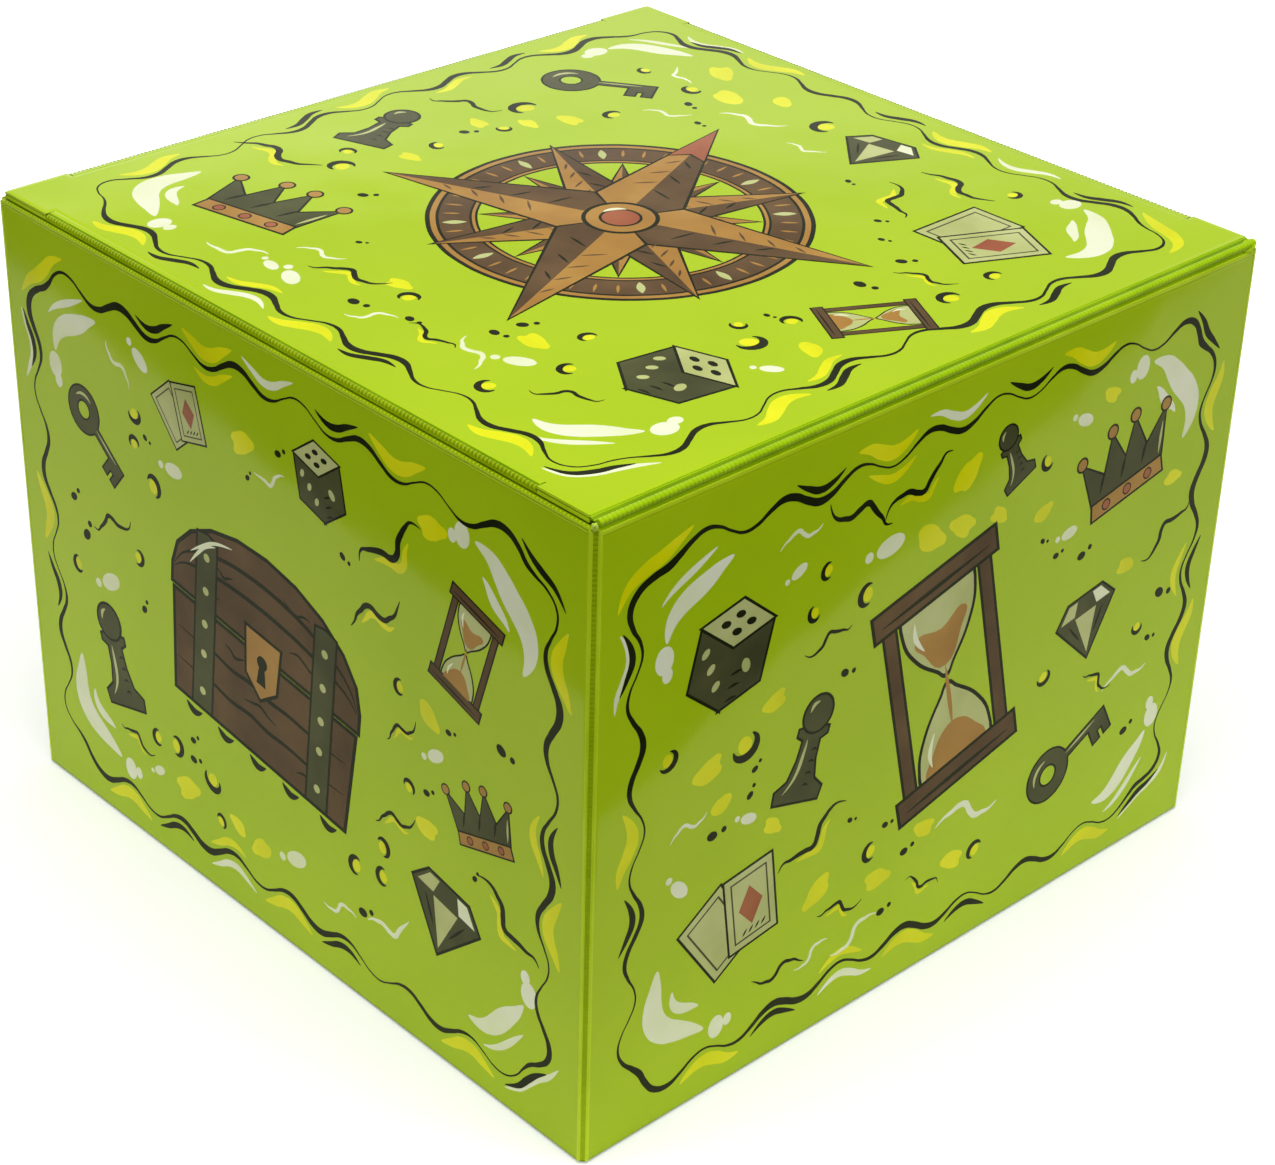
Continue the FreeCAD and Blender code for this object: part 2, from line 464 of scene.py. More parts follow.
def fold_outline(rise):
    crest = [(125.2, 199.8), (125.27, 199.89), (125.7, 199.9), (126.2, 199.9), (126.6, 199.88)]
    groove = [(126.95, 199.8), (127.12, 199.66), (127.26, 199.46), (127.42, 199.44)]
    ribs = [(127.6, 199.56 + 0.5 * rise), (127.95 + 0.4 * rise, 199.5 + rise)]
    ribs += [(128.22 + 0.7 * rise, 199.22 + 0.8 * rise), (128.38 + 0.8 * rise, 198.86 + 0.4 * rise)]
    ribs += [(128.44 + 0.6 * rise, 198.5)]
    shoulder = [(128.44, 198.15), (128.4, 197.8), (128.15, 197.63), (127.7, 197.42), (127.3, 197.0)]
    tail = [(127.1, 196.3), (127.1, 196.0), (127.1, 195.7), (127.14, 195.4), (127.2, 195.0)]
    tail += [(127.06, 193.0), (126.86, 192.9)]
    back = [(127.03, 194.95), (126.7, 195.4), (126.6, 195.7), (126.6, 196.3), (127.0, 197.4)]
    back += [(127.3, 198.4), (126.6, 199.0), (125.2, 199.3)]
    return crest + groove + ribs + shoulder + tail + back


for flap, outward in flaps.items():
    run = outward.cross(Z)
    start, length = span_of(flap + "_strip", run)
    sections = fold_outline(-0.3), fold_outline(0.14)
    strip = ribbed_strip(flap + "_fold_strip", *sections, outward, Z, run, start, length)

    # The crest takes the film's lime. On the shoulder the rib tops and the part below the rib foot
    # get the seam green, and the ends of each rib above the rib foot get the deeper green as
    # painted shade between the ribs.
    def fold_tone_and_shade(face):
        out, up = face.center.dot(outward) / mm, face.center.z / mm
        if out < crest_end and up > crest_foot:
            return 1
        if out > shoulder_start and up > shoulder_foot:
            return 2 if up < rib_foot or 0.2 < rib_share(face, start, run, length) < 0.8 else 3
        return 0

    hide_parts(flap + "_strip")
    paint(strip, weld, lime, seam_green, rim_green, choose=fold_tone_and_shade)
    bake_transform(strip)
    print(strip.name, "length in mm:", round(length / mm, 1))

# %% [markdown]
# ## Edges of the lid and rims of the walls
# At the lid's corners the strips stop and the panel's own edge shows: two fused lips, one above the
# other, with a dark line between. The walls end in a thin melted rim just under the lid. Its top is
# painted a deeper green as shade under the lid's edge, and its side runs on from the printed film.
# Both are plain drawn sections, with almost no ribs.

# %% Lid edges at the corners
edge_low = [(127.4, 199.65), (128.2, 199.75), (128.38, 199.4), (128.24, 199.08), (127.9, 198.9)]
edge_low += [(128.22, 198.72), (128.44, 198.3), (128.46, 197.9), (128.2, 197.66), (127.4, 197.66)]
edge_high = [(a + (0.03 if a > 128 else 0), b) for a, b in edge_low]
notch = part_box("front_ear_strip")[1].x + 0.3 * mm
edges = [("front", -Y, X), ("back", Y, -X), ("left", -X, -Y)]
for side, outward, run in edges:
    ends = sorted((lid_low.dot(run), lid_high.dot(run)))
    for tag, a, b in (("start", ends[0], -notch), ("end", notch, ends[1])):
        name = f"lid_edge_{side}_{tag}"
        lip = ribbed_strip(name, edge_low, edge_high, outward, Z, run, run * a, b - a)
        finish_piece(lip, "lid", "weld_strip", seam_green)
        print(lip.name, "length in mm:", round((b - a) / mm, 1))

# %% Wall rims
bulge = 0.22
turns = [radians(degrees) for degrees in (0, 45, 90, 135, 180)]
rim_outline = [(129.86 + a, 197.3 + b) for a, b in arc_of(bulge, turns)]
rim_outline += [(129.5, 197.15), (129.2, 197.22), (128.9, 197.4), (128.6, 197.45), (128.3, 197.38)]
rim_outline += [(128.15, 197.2), (128.3, 196.6), (129.4, 196.1), (130.0, 196.15), (130.1, 196.3)]
rim_outline += [(130.1, 196.5), (130.02, 196.62), (129.9, 196.68), (129.9, 197.0), (130.04, 197.06)]
rim_high = [(a, b + (0.05 if b > 197.3 else 0)) for a, b in rim_outline]
for side, outward, run in edges:
    start, length = span_of(side + "_wall_film", run)
    name = side + "_wall_rim"
    rim = ribbed_strip(name, rim_outline, rim_high, outward, Z, run, start, length)

    # The rim's top faces get the deeper green as painted shade under the lid; the outward side gets
    # the film's lime.
    def on_side(face):
        return int(face.normal.dot(outward) > 0.6)

    finish_piece(rim, "box", "weld_strip", rim_green, lime, choose=on_side)
    print(rim.name, "length in mm:", round(length / mm, 1))

# %% [markdown]
# ## Melted ends of the hinge
# At each end of the hinge bead the weld has run into a small lump. The one at the back is larger,
# crumpled and shiny. A small ball is squeezed to size, pushed about at random with a fixed seed,
# and smoothed by subdivision.

# %% Two melted lumps


def melted_lump(name, centre, size, seed, bumps, finish):
    bpy.ops.mesh.primitive_ico_sphere_add()
    lump = bpy.context.object
    lump.name = name
    bpy.ops.object.mode_set(mode="EDIT")
    bpy.ops.mesh.select_all(action="SELECT")
    bpy.ops.transform.resize(value=tuple(v * mm for v in size), center_override=(0, 0, 0))
    bpy.ops.transform.translate(value=centre)
    bpy.ops.transform.vertex_random(offset=bumps * mm, uniform=0.3, normal=0.6, seed=seed)
    close_mesh()
    rounder = lump.modifiers.new("round", "SUBSURF")
    rounder.levels = rounder.render_levels = 2
    bpy.ops.object.modifier_apply(modifier="round")
    bpy.ops.object.shade_smooth()
    return finish_piece(lump, "box", "weld_strip", finish)


front_end = Vector((lid_line.x, lid_low.y - 1.1 * mm, lid_line.z - 0.6 * mm))
back_end = Vector((lid_line.x - 0.1 * mm, lid_high.y - 2.2 * mm, lid_line.z - 0.6 * mm))
stretched_tones = [(0.46, 0.66, 0.04), (0.54, 0.73, 0.08), (0.62, 0.80, 0.14)]
stretched = glossy_film("stretched_film", stretched_tones, gloss=0.2, patch=200)
lumps = [melted_lump("hinge_end_front", front_end, (1.0, 0.8, 1.3), 3, 0.3, stretched)]
lumps.append(melted_lump("hinge_end_back", back_end, (1.15, 2.6, 1.25), 5, 1.7, bead_green))
print([lump.name for lump in lumps])

# %% [markdown]
# ## Inside film and board
# The inner films and the boards are right as the CAD gives them, so those nodes stay and only get a
# finish. The inner film is the same green without print, and a little duller. The board is grey
# pulp with short fibres, and shows nowhere while the box is whole.

# %% Finishes for the kept nodes
liner_tones = [(0.33, 0.50, 0.004), (0.37, 0.55, 0.006), (0.41, 0.58, 0.010)]
liner = glossy_film("liner_green", liner_tones, gloss=0.32, patch=30, wave=1.4)
board, board_shader = new_material("grey_board", Roughness=0.9)
pulp = noise(board, add_node(board, "TexCoord"), 300, 6, Distortion=1.5)
pulp_tones = tones(board, pulp, [(0.20, 0.19, 0.17), (0.28, 0.27, 0.24), (0.36, 0.35, 0.32)])
fibre = add_node(board, "Bump", Strength=0.3, Distance=0.1 * mm)
wires(
    board, (pulp_tones, "Color", board_shader, "Base Color"), (pulp, 0, fibre, "Height"),
    (fibre, "Normal", board_shader, "Normal"))

kept = {"liner": liner, "board": board, "rim": weld}
for name, node in frame["nodes"].items():
    kind = name.split("_")[-1]
    if kind in kept:
        paint(node, kept[kind])
print("kept kinds of nodes:", sorted(kept))

# %% [markdown]
# ## The print
# The outside is printed like a cartoon chart: a wavy frame on every panel, loose brush marks, and
# drawings of things from games. A flat texture would blur at the edges, so each ink is its own very
# thin layer. Every shape is a closed outline on a flat curve, which Blender fills, gives a hair of
# thickness and turns into a mesh. The layers are stacked in the order a printer lays them down. A
# pen is a panel with a place on it.

# %% Inks
inks = {
    "yellow": [(0.72, 0.74, 0.0), (0.80, 0.82, 0.0), (0.86, 0.86, 0.01)],
    "pale": [(0.80, 0.86, 0.50), (0.86, 0.90, 0.62), (0.90, 0.93, 0.70)],
    "dark": [(0.008, 0.011, 0.003), (0.012, 0.016, 0.004), (0.020, 0.024, 0.008)],
    "drab": [(0.055, 0.060, 0.022), (0.075, 0.080, 0.030), (0.10, 0.105, 0.040)],
    "ochre": [(0.38, 0.18, 0.030), (0.44, 0.22, 0.040), (0.50, 0.27, 0.055)],
    "brown": [(0.090, 0.050, 0.022), (0.12, 0.068, 0.030), (0.16, 0.092, 0.040)],
    "red": [(0.32, 0.070, 0.030), (0.38, 0.10, 0.040), (0.44, 0.13, 0.055)],
    "bone": [(0.46, 0.50, 0.17), (0.54, 0.58, 0.22), (0.60, 0.64, 0.28)],
}
deep = ("dark", "drab", "brown")
ink_finish = {}
for name, colours in inks.items():
    shine = 0.14 if name in deep else 0.4
    ink_finish[name] = glossy_film(name + "_ink", colours, patch=40, shine=shine)
print("inks:", len(inks))

# %% Outlines and strokes
drawn = {}


def ring_of(radius, sides=10, start=0.0, squash=1.0):
    steps = [start + 2 * pi * i / sides for i in range(sides)]
    return [Vector((radius * cos(t), radius * squash * sin(t), 0)) for t in steps]


def block(x0, y0, x1, y1):
    return [(x0, y0), (x1, y0), (x1, y1), (x0, y1)]


def flat(points):
    return [Vector((p[0], p[1], 0)) for p in points]


def moved(pen, x, y, turn=0.0, size=1.0):
    turned = Matrix.Rotation(radians(turn), 4, "Z")
    return pen[0], pen[1] @ (Matrix.Translation((x, y, 0)) @ turned @ Matrix.Scale(size, 4))


def draw(pen, ink, level, *loops, smooth=True):
    panel, at = pen
    placed = [[at @ p for p in flat(loop)] for loop in loops]
    drawn.setdefault((panel, ink), []).append((level, smooth, placed))


def facet(pen, ink, level, *loops):
    draw(pen, ink, level, *loops, smooth=False)


def brush(points, width):
    points = flat(points)
    left, right = [], []
    for i, p in enumerate(points):
        before, after = points[max(i - 1, 0)], points[min(i + 1, len(points) - 1)]
        along = (after - before).normalized()
        share = i / (len(points) - 1)
        reach = width / 2 * (0.06 + sin(pi * share) ** 0.8)
        side = Vector((-along.y, along.x, 0)) * reach
        left.append(p + side)
        right.append(p - side)
    return left + right[::-1]


def stroke(pen, ink, level, points, width):
    draw(pen, ink, level, brush(points, width))


def dot(pen, ink, level, radius, sides=8, squash=1.0):
    draw(pen, ink, level, ring_of(radius, sides, 0, squash))


def grown(points, by):
    total = len(points)
    area = sum(points[i - 1].x * points[i].y - points[i].x * points[i - 1].y for i in range(total))
    turn = 1 if area > 0 else -1
    out = []
    for i, p in enumerate(points):
        a = (p - points[i - 1]).normalized()
        b = (points[(i + 1) % total] - p).normalized()
        normal = Vector((a.y + b.y, -a.x - b.x, 0)).normalized() * turn
        out.append(p + normal * by / max(0.5, normal.dot(Vector((a.y, -a.x, 0)) * turn)))
    return out


def inked(pen, ink, points, level=4, line=0.9, smooth=False):
    draw(pen, "dark", level - 1, grown(flat(points), line), smooth=smooth)
    draw(pen, ink, level, points, smooth=smooth)


print("drawing tools ready")

# %% [markdown]
# ## Frame and brush marks
# The frame is a line that waves evenly round the panel, thick and thin as a brush leaves it, with
# strokes beside it and pale sweeps in the corners. The loose marks are squiggles, wisps, hooks,
# blobs, dots and drops. Their places come from a random list with a fixed seed, and a mark that
# would touch a drawing or another mark is left out.

# %% Frame line round a panel
frame_inset, frame_corner = 14, 16
wave_length, wave_steps = 16, 6
thinnest = 0.3


def frame_path(half_x, half_y, corner, count):
    straight_x, straight_y = 2 * (half_x - corner), 2 * (half_y - corner)
    arc = pi / 2 * corner
    total = 2 * (straight_x + straight_y) + 4 * arc
    places = []
    for i in range(count):
        s = total * i / count
        side = 0
        for length in (straight_x, arc, straight_y, arc) * 2:
            if s < length:
                break
            s -= length
            side += 1
        quarter = side // 2
        wide, tall = ((half_x, half_y), (half_y, half_x))[quarter % 2]
        if side % 2 == 0:
            p, n = Vector((s - (wide - corner), -tall, 0)), Vector((0, -1, 0))
        else:
            t = s / corner - pi / 2
            n = Vector((cos(t), sin(t), 0))
            p = Vector((wide - corner, corner - tall, 0)) + n * corner
        spin = Matrix.Rotation(pi / 2 * quarter, 4, "Z")
        places.append((spin @ p, spin @ n))
    return places


def frame_print(pen, half_x, half_y, shift):
    count = 2 * round((half_x + half_y) / wave_length) * wave_steps
    outer, inner, spine = [], [], []
    path = frame_path(half_x - frame_inset, half_y - frame_inset, frame_corner, count)
    for i, (p, n) in enumerate(path):
        t = 2 * pi * i / wave_steps + shift
        lap = 2 * pi * i / count
        sway = 2.6 * sin(t) + 1.5 * sin(5 * lap + shift)
        thick = 0.72 + 0.45 * sin(t * 0.5 + shift) + 0.2 * sin(3 * lap)
        spine.append((p + n * sway, n))
        outer.append(p + n * (sway + max(thinnest, thick)))
        inner.append(p + n * (sway - max(thinnest, thick)))
    draw(pen, "dark", 2, outer, inner)
    for i in range(0, count - 8, wave_steps):
        run = spine[i + 1:i + 7]
        if i % 18 == 0:
            stroke(pen, "yellow", 1, [p + n * 4.2 for p, n in run], 4.2)
        if i % 18 == 6:
            stroke(pen, "dark", 2, [p + n * 3.4 for p, n in run[:5]], 2.1)
        middle_x, middle_y = abs(run[2][0].x), abs(run[2][0].y)
        if i % 24 == 12 and (middle_x < half_x - 52 or middle_y < half_y - 52):
            stroke(pen, "yellow", 1, [p - n * 3.6 for p, n in run[:5]], 2.6)
        if i % 30 == 12:
            stroke(pen, "pale", 1, [p + n * 4.4 for p, n in run], 2.4)


print("frame line ready")

# %% Sweeps in the corners and loose marks
shine_inset, shine_radius, shine_room = 46, 22, 6
even_bows = ((23.5, -16, 82, 7.6), (16, 14, 68, 3.2))
even_drops = ((24, 94, 2.9), (24, 104, 1.6))
odd_bows = ((23, 16, 90, 6.2), (29.5, 36, 78, 2.2))
odd_drops = ((24, 4, 3.2), (23.5, -8, 1.8))
mark_kinds = "ssssspphhyyydw"
mark_room = {"s": 9.2, "p": 7.8, "h": 5.4, "y": 6.4, "d": 3.6, "w": 5.5}
mark_inset, mark_tries = 25, 40


def corner_shine(pen, half_x, half_y, taken):
    for sx, sy in ((1, 1), (-1, 1), (-1, -1), (1, -1)):
        def at_angle(radius, angle):
            t = radians(angle)
            radius += 1.3 * sin(5 * t + sx)
            x = half_x - shine_inset + radius * cos(t)
            y = half_y - shine_inset + radius * sin(t)
            return Vector((sx * x, sy * y, 0))

        bows, drops = (even_bows, even_drops) if sx == sy else (odd_bows, odd_drops)
        for radius, first, last, width in bows:
            bow = [at_angle(radius, first + (last - first) * i / 7) for i in range(8)]
            stroke(pen, "pale", 1, bow, width)
        for radius, angle, size in drops:
            dot(moved(pen, *at_angle(radius, angle)[:2]), "pale", 1, size, 10, 1.3)
        for angle in (-4, 20, 45, 70, 94):
            taken.append((*at_angle(shine_radius, angle)[:2], shine_room))


def draw_mark(pen, kind, bend):
    if kind in "sp":
        reach = 11 if kind == "s" else 9
        wave = []
        for u in range(-reach, reach + 1, 2):
            wave.append((1.15 * u, 2.2 * sin(u * 0.42 + bend) + 0.5 * sin(u + bend)))
        stroke(pen, "dark" if kind == "s" else "pale", 2, wave, 1.6)
        if kind == "s" and bend > 2.2:
            stroke(moved(pen, 0.8, -2.4), "yellow", 1, wave[2:9], 2.0)
    elif kind == "h":
        hook = [(3.4 * cos(t / 10), 3.0 * sin(t / 10)) for t in range(0, 41, 5)]
        turned = pen[0], pen[1] @ Matrix.Rotation(bend, 4, "Z")
        stroke(turned, "dark", 2, hook, 2.1)
        dot(pen, "yellow", 1, 1.9, 8, 1.2)
    elif kind == "y":
        blob = []
        for i, p in enumerate(ring_of(4.4, 9, bend, 0.8)):
            blob.append((p.x * (1.25 + 0.3 * sin(2.3 * i + bend)), p.y))
        draw(pen, "yellow", 1, blob)
    elif kind == "d":
        dot(pen, "dark", 2, 1.6, 8, 0.75)
        dot(moved(pen, 3.4, 1.2), "dark", 2, 0.8)
    else:
        dot(pen, "pale", 1, 4.4, 10, 0.55)
        dot(moved(pen, -6.6, 0.4), "pale", 1, 1.3)


def scatter(pen, half_x, half_y, taken, seed, wanted):
    dice = random.Random(seed)
    made = 0
    reach_x, reach_y = half_x - mark_inset, half_y - mark_inset
    for _ in range(wanted * mark_tries):
        x, y = dice.uniform(-reach_x, reach_x), dice.uniform(-reach_y, reach_y)
        kind = dice.choice(mark_kinds)
        size, lean, bend = dice.uniform(0.65, 1.35), dice.uniform(-48, 48), dice.uniform(0, 6)
        room = mark_room[kind] * size
        if made == wanted or any(hypot(x - a, y - b) < r + room for a, b, r in taken):
            continue
        taken.append((x, y, room))
        made += 1
        draw_mark(moved(pen, x, y, lean, size), kind, bend)
    return made


print("kinds of marks:", len(mark_room))

# %% [markdown]
# ## Drawings on the panels
# Each drawing is a handful of filled shapes over a slightly larger dark one, which leaves an even
# outline, with a few brush strokes for shade. They are drawn in millimetres about their own middle
# and set down on a panel with a place, a turn and a size.

# %% Compass rose for the lid
rose_rings = [("dark", 2, 61.5, 45), ("ochre", 3, 60, 58.2)]
rose_rings += [("brown", 3, 57.2, 47.6), ("ochre", 3, 46.8, 45.8)]
rose_stars = [(43, 8.0, 8, 22.5, 4), (62, 12.0, 4, 45, 6), (82, 15.5, 4, 0, 8)]
rose_hatching = [("brown", 0.5, (0.25, 0.4, 0.55, 0.7), 0.4, -4.5, 0.62, 0.9)]
rose_hatching += [("dark", 1, (0.15, 0.35, 0.55), -0.5, -5.0, -0.6, 1.0)]


def compass_rose(pen):
    for ink, level, radius, hole in rose_rings:
        draw(pen, ink, level, ring_of(radius, 24), ring_of(hole, 24)[::-1])
    for i in range(48):
        t = 2 * pi * i / 48
        across = Vector((cos(t), sin(t), 0))
        ink, first, width = ("ochre", 50.5, 1.0) if i % 4 else ("bone", 48.6, 2.6)
        stroke(pen, ink, 3.5, [across * first, across * 52.5, across * 56.2], width)
    for reach, waist, count, first, level in rose_stars:
        for i in range(count):
            point = moved(pen, 0, 0, first + 360 / count * i)
            shaded = [(0, 0), (waist, -waist * 0.95), (reach, 0)]
            inked(point, "ochre", shaded + [(waist, waist * 0.95)], level, 1.1)
            facet(point, "brown", level + 0.5, shaded)
            for ink, over, shares, rise, lean, spread, width in rose_hatching:
                for u in shares:
                    a = Vector((waist + (reach - waist) * u, rise, 0))
                    b = a + Vector((lean, waist * spread * (1 - u), 0))
                    stroke(point, ink, level + over, [a, (a + b) / 2, b], width)
    inked(moved(pen, 0, 0, 90), "red", [(55, -6.2), (82, 0), (55, 6.2), (59, 0)], 10, 0.8)
    inked(pen, "ochre", ring_of(11, 16), 10, 1.4, smooth=True)
    inked(pen, "red", ring_of(6, 12), 12, smooth=True)
    stroke(pen, "pale", 13, arc_of(7, (1.7, 2.0, 2.3, 2.6, 2.9)), 1.6)


# %% Wooden chest for the front wall
chest_grain = [(-34, -28, 12), (-8, -17, 16), (18, -28, 12), (-18, -5, 10), (22, -6, 12)]
chest_grain += [(-24, 20, 9), (8, 27, 13), (-30, 9, 9), (12, 12, 14)]
quarters, thirds = (0, 0.25, 0.5, 0.75, 1), (0, 0.3, 0.6, 1)


def chest(pen):
    turns = [pi * i / 10 for i in range(11)]
    arch = [(44 * cos(t), 10 + 26 * sin(t)) for t in turns]
    inked(pen, "brown", [(-44, 4)] + arch[::-1] + [(44, 4)], 4, 1.4)
    inked(pen, "brown", [(-41, -34), (41, -34), (43, 1), (-43, 1)], 4, 1.4)
    for y in (-22.5, -11):
        seam = [(x, y + 0.5 * sin(x)) for x in range(-41, 42, 9)]
        stroke(pen, "dark", 5, seam, 1.5)
    for scale in (0.72, 0.40):
        turns = [0.12 + 2.9 * i / 9 for i in range(10)]
        seam = [(44 * cos(t), 8 + 26 * scale * sin(t)) for t in turns]
        stroke(pen, "dark", 5, seam, 1.5)
    for x, y, run in chest_grain:
        grain = [(x + run * u, y + 1.1 * sin(7 * u + x)) for u in quarters]
        stroke(pen, "dark", 5, grain, 1.0)
    for x in (-28, 28):
        strap = [(x - 4.5, -34), (x + 4.5, -34), (x + 4.5, 28), (x, 29), (x - 4.5, 28)]
        inked(pen, "drab", strap, 7)
        for y in (-28, -14, -3, 9, 21):
            dot(moved(pen, x, y), "bone", 8, 1.4)
    inked(pen, "ochre", [(-8, 9), (8, 9), (7, -7), (0, -13), (-7, -7)], 8, 1.1)
    dot(pen, "dark", 9, 2.4, 10)
    facet(pen, "dark", 9, [(-1.2, -1), (1.2, -1), (2.2, -8), (-2.2, -8)])
    for y, reach in ((31, 20), (27, 12)):
        glint = [(-36 + reach * u, y - 12 + 12 * sin(1.5 * u)) for u in thirds]
        stroke(pen, "pale", 8, glint, 1.2)
    for x in (-36, -20, -4, 12, 30):
        shade = [(x + 8 * u, -36.5 - 2.0 * sin(3 * u)) for u in thirds]
        stroke(pen, "dark", 3, shade, 2.6)


# %% Hourglass, key and crown


def hourglass(pen):
    for x in (-15, 15):
        inked(pen, "brown", block(x - 1.6, -25, x + 1.6, 25), 4, 0.8)
    glass = [(0, 1.8), (2.2, 4), (8, 11), (11, 19), (10, 25)]
    glass += [(-10, 25), (-11, 19), (-8, 11), (-2.2, 4)]
    inked(pen, "bone", glass, smooth=True)
    inked(pen, "bone", [(x, -y) for x, y in glass[::-1]], smooth=True)
    upper_sand = [(0, 4), (6, 11), (8, 16), (0, 14.5), (-8, 16), (-6, 11)]
    lower_sand = [(-9.5, -24), (9.5, -24), (7, -18), (2, -13), (-2, -13), (-7, -18)]
    draw(pen, "ochre", 5, upper_sand)
    draw(pen, "ochre", 5, lower_sand)
    stroke(pen, "ochre", 5, [(0, 4), (0, -6), (0, -14)], 1.3)
    for y in (27, -27):
        inked(pen, "brown", block(-19, y - 3, 19, y + 3), 6)
        stroke(pen, "dark", 7, [(x, y - 0.8) for x in (-17, -6, 5, 17)], 1.1)
    for side in (1, -1):
        shine = [(-7.5, side * 21), (-7.8, side * 17), (-5.6, side * 12)]
        stroke(pen, "pale", 6, shine, 1.3)


def old_key(pen):
    bit = [(22, -1.5), (22, -9), (25, -9), (25, -5), (28, -5), (28, -9), (31, -9), (31, -1.5)]
    inked(pen, "drab", block(6, -1.5, 31, 1.5), 4, 0.8)
    inked(pen, "drab", bit, 4, 0.8)
    draw(pen, "dark", 3, ring_of(10.8, 14), ring_of(3.6, 12)[::-1])
    draw(pen, "drab", 4, ring_of(10, 14), ring_of(4.4, 12)[::-1])
    stroke(pen, "bone", 5, arc_of(7, (1.4, 1.8, 2.2, 2.6, 3.0)), 1.3)
    stroke(pen, "bone", 5, [(x, 0.5) for x in (10, 15, 20, 26)], 0.8)


def crown(pen):
    points = [(-18, -9), (18, -9), (22, 11), (11, 1), (6, 15), (0, 2)]
    points += [(-6, 15), (-11, 1), (-22, 11)]
    inked(pen, "drab", points)
    inked(pen, "ochre", [(-18.5, -14), (18.5, -14), (18, -8), (-18, -8)], 6)
    for x, y in ((-22, 12), (-6, 16.5), (6, 16.5), (22, 12)):
        inked(moved(pen, x, y), "ochre", ring_of(2.2, 10), 6, 0.7, smooth=True)
    for x in (-11, 0, 11):
        inked(moved(pen, x, -11), "red", ring_of(1.7, 8), 8, 0.5, smooth=True)
    for x in (-14, -3, 8):
        fold = [(x + 3 * u, -5 + 8 * u) for u in (0, 0.4, 0.7, 1)]
        stroke(pen, "dark", 5, fold, 1.3)
    stroke(pen, "bone", 5, [(17, -6), (18.5, 0), (20, 6)], 1.2)


# %% Cards, gem, die and pawn


def two_cards(pen):
    for turn, x, level in ((16, -6, 4), (-10, 7, 7)):
        card = moved(pen, x, 0, turn)
        inked(card, "bone", block(-9, -13, 9, 13), level, 0.8)
        line = block(-7, -11, 7, 11), block(-6.4, 10.4, 6.4, -10.4)
        facet(card, "drab", level + 0.5, *line)
    front = moved(pen, 7, 0, -10)
    facet(front, "red", 8, [(0, -7), (4.6, 0), (0, 7), (-4.6, 0)])
    for i in range(4):
        x = 2.4 * i
        stroke(front, "dark", 8, [(-4 + x, -9.5), (-3 + x, -8.6), (-2 + x, -7.6)], 0.7)


def cut_gem(pen):
    inked(pen, "drab", [(-15, 5), (-9, 12), (9, 12), (15, 5), (0, -15)])
    facet(pen, "bone", 5, [(-5.5, 4.4), (5.5, 4.4), (0, -13)])
    facet(pen, "bone", 5, [(-8.4, 11.3), (-4, 11.3), (-5.8, 5.6), (-13, 5.6)])
    facet(pen, "pale", 5, [(4, 11.3), (8.4, 11.3), (13, 5.6), (5.8, 5.6)])
    for x in (-9, 9):
        stroke(pen, "dark", 6, [(x, 3), (x * 0.7, -1.5), (x * 0.4, -6)], 0.9)


def game_die(pen):
    inked(pen, "bone", [(0, 4), (14, 11), (0, 18), (-14, 11)])
    inked(pen, "drab", [(-14, 10), (0, 3), (0, -15), (-14, -8)])
    inked(pen, "drab", [(14, 10), (14, -8), (0, -15), (0, 3)])
    for x, y in ((-5, 11), (5, 11), (0, 13.6), (0, 8.4)):
        dot(moved(pen, x, y), "dark", 5, 1.9, 8, 0.6)
    for x, y in ((-10.5, 3), (-7, -2), (-3.5, -7.5)):
        dot(moved(pen, x, y, 60), "bone", 5, 1.8, 8, 0.65)
    dot(moved(pen, 7, -2.5, -60), "bone", 5, 2.4, 8, 0.65)
    for y in (-1, -5, -9):
        stroke(pen, "dark", 5, [(1.5, y - 4), (4, y - 3), (6, y - 2.6)], 0.9)


def pawn(pen):
    side = [(10, -17), (10.5, -13), (6, -10), (4, -3), (3.6, 4), (6.5, 5.5), (6.5, 7.5), (3, 8)]
    inked(pen, "drab", side + [(-x, y) for x, y in reversed(side)])
    inked(moved(pen, 0, 12.5), "drab", ring_of(6, 12), 6, smooth=True)
    stroke(pen, "bone", 7, [(-3.8, 13), (-2.9, 15.6), (-0.6, 16.8)], 1.3)
    stroke(pen, "bone", 5, [(-7, -14), (-3.4, -9), (-1.9, 0), (-1.8, 4)], 1.2)
    for y in (-12, -8, -4, 0):
        stroke(pen, "dark", 5, [(1.2, y), (2.6, y + 0.6), (4.2, y)], 0.8)


print("drawings ready")

# %% [markdown]
# ## Laying out the six panels
# The lid carries the largest drawing, the front a chest, and the other walls a larger thing in the
# middle with smaller ones about it. The underside has only its frame and marks. Panels are laid out
# flat in millimetres, with the middle at zero and the upper edge up. Each row gives a drawing, its
# place, turn and size, and the room round it that loose marks keep clear of.

